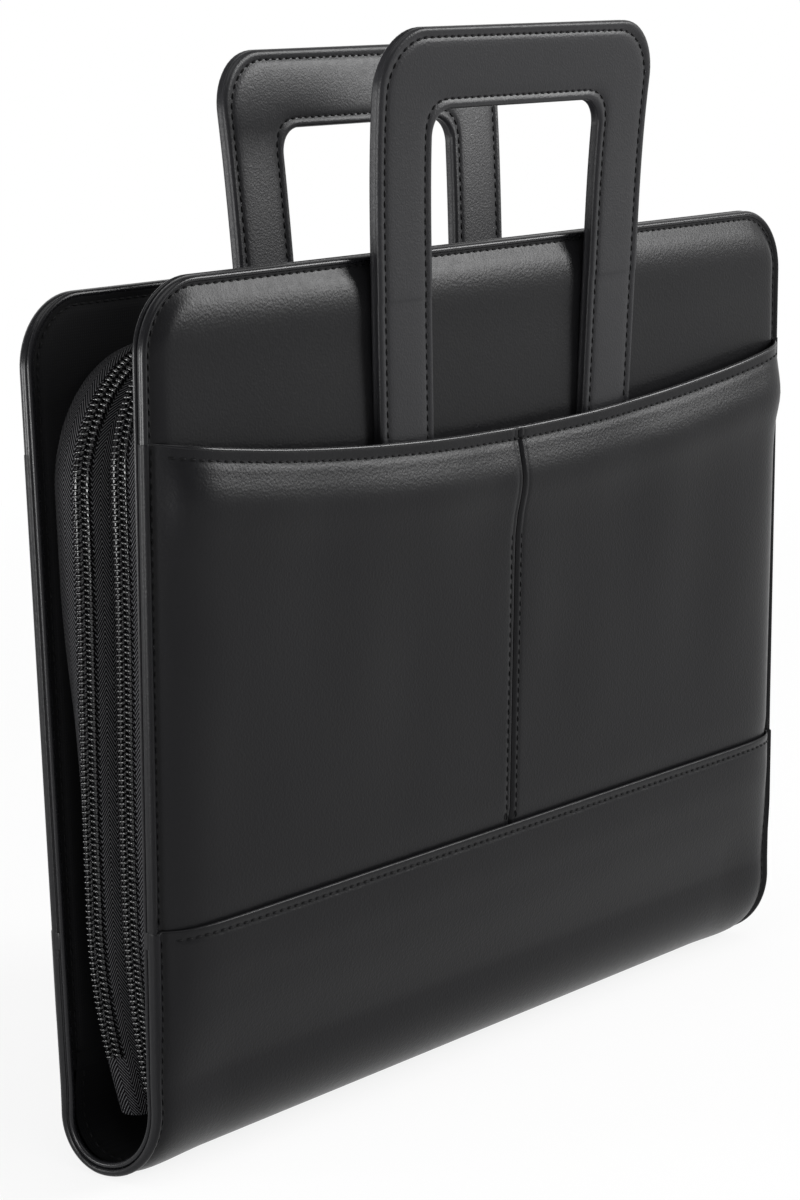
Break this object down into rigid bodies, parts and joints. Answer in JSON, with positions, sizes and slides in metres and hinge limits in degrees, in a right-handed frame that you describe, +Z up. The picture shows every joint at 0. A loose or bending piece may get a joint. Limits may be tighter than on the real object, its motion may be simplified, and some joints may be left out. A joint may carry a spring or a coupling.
{
  "type": "zippered padfolio",
  "caption": "Zip-round leatherette padfolio standing on its spine, with hinged covers, outside pockets, slide-up carrying handles and a writing pad inside.",
  "frame": {"origin": "under the middle of the spine, on the surface it stands on", "axes": "+X along the spine, -Y out of the front cover, +Z up to the handles"},
  "size_m": [0.34, 0.0744, 0.3578],
  "materials": {
    "leatherette": "satin fine pebble grain",
    "lining_fabric": "matt woven",
    "board": "raw grey board",
    "zip_tape": "herringbone weave",
    "zip_coil": "glossy",
    "zip_metal": "gloss black enamel",
    "paper": "matt",
    "binding": "matt",
    "elastic": "matt woven"
  },
  "bodies": {
    "spine": {"spine_wrap": "leatherette", "spine_board": "board", "spine_lining": "lining_fabric", "leaf_board": "board", "leaf_front_lining": "lining_fabric", "leaf_back_lining": "lining_fabric", "pad_backing": "board", "pad_paper": "paper", "pad_binding": "binding", "pad_sleeve": "lining_fabric", "pen_loop": "elastic", "front_zip_leaf_tape": "zip_tape", "front_zip_leaf_teeth": "zip_coil", "back_zip_leaf_tape": "zip_tape", "back_zip_leaf_teeth": "zip_coil"},
    "front_cover": {"front_cover_skin": "leatherette", "front_cover_board": "board", "front_cover_lining": "lining_fabric", "front_lower_panel": "leatherette", "front_pocket_left": "leatherette", "front_pocket_right": "leatherette", "front_handle_stops": "leatherette", "front_zip_cover_tape": "zip_tape", "front_zip_cover_teeth": "zip_coil", "front_document_pocket": "lining_fabric", "front_card_pockets": "lining_fabric"},
    "back_cover": {"back_cover_skin": "leatherette", "back_cover_board": "board", "back_cover_lining": "lining_fabric", "back_lower_panel": "leatherette", "back_pocket_left": "leatherette", "back_pocket_right": "leatherette", "back_handle_stops": "leatherette", "back_zip_cover_tape": "zip_tape", "back_zip_cover_teeth": "zip_coil", "back_file_pocket": "lining_fabric"},
    "front_handle": {"front_handle_inner_skin": "leatherette", "front_handle_core": "board", "front_handle_outer_skin": "leatherette"},
    "back_handle": {"back_handle_inner_skin": "leatherette", "back_handle_core": "board", "back_handle_outer_skin": "leatherette"},
    "front_zip_slider": {"front_zip_slider": "zip_metal"},
    "back_zip_slider": {"back_zip_slider": "zip_metal"},
    "front_zip_pull": {"front_zip_pull": "zip_metal"},
    "back_zip_pull": {"back_zip_pull": "zip_metal"}
  },
  "joints": [
    {"name": "front_cover_hinge", "type": "hinge", "parent": "spine", "child": "front_cover", "pos_m": [0, -0.022, 0.033], "axis": [1, 0, 0], "range_deg": [0, 88]},
    {"name": "front_handle_slide", "type": "slide", "parent": "front_cover", "child": "front_handle", "axis": [0, -0.0227, 0.9997], "range_m": [-0.072, 0]},
    {"name": "front_zip_slide", "type": "slide", "parent": "spine", "child": "front_zip_slider", "axis": [0, 0, 1], "range_m": [0, 0.17], "deforming": ["front_zip_cover_teeth", "front_zip_leaf_teeth"]},
    {"name": "front_pull_hinge", "type": "hinge", "parent": "front_zip_slider", "child": "front_zip_pull", "pos_m": [0.1681, -0.0085, 0.057], "axis": [0, -1, 0], "range_deg": [0, 160]},
    {"name": "back_cover_hinge", "type": "hinge", "parent": "spine", "child": "back_cover", "pos_m": [0, 0.022, 0.026], "axis": [-1, 0, 0], "range_deg": [0, 88]},
    {"name": "back_handle_slide", "type": "slide", "parent": "back_cover", "child": "back_handle", "axis": [0, 0.0227, 0.9997], "range_m": [-0.072, 0]},
    {"name": "back_zip_slide", "type": "slide", "parent": "spine", "child": "back_zip_slider", "axis": [0, 0, 1], "range_m": [0, 0.17], "deforming": ["back_zip_cover_teeth", "back_zip_leaf_teeth"]},
    {"name": "back_pull_hinge", "type": "hinge", "parent": "back_zip_slider", "child": "back_zip_pull", "pos_m": [0.1681, 0.0085, 0.05], "axis": [0, -1, 0], "range_deg": [0, 160]}
  ]
}
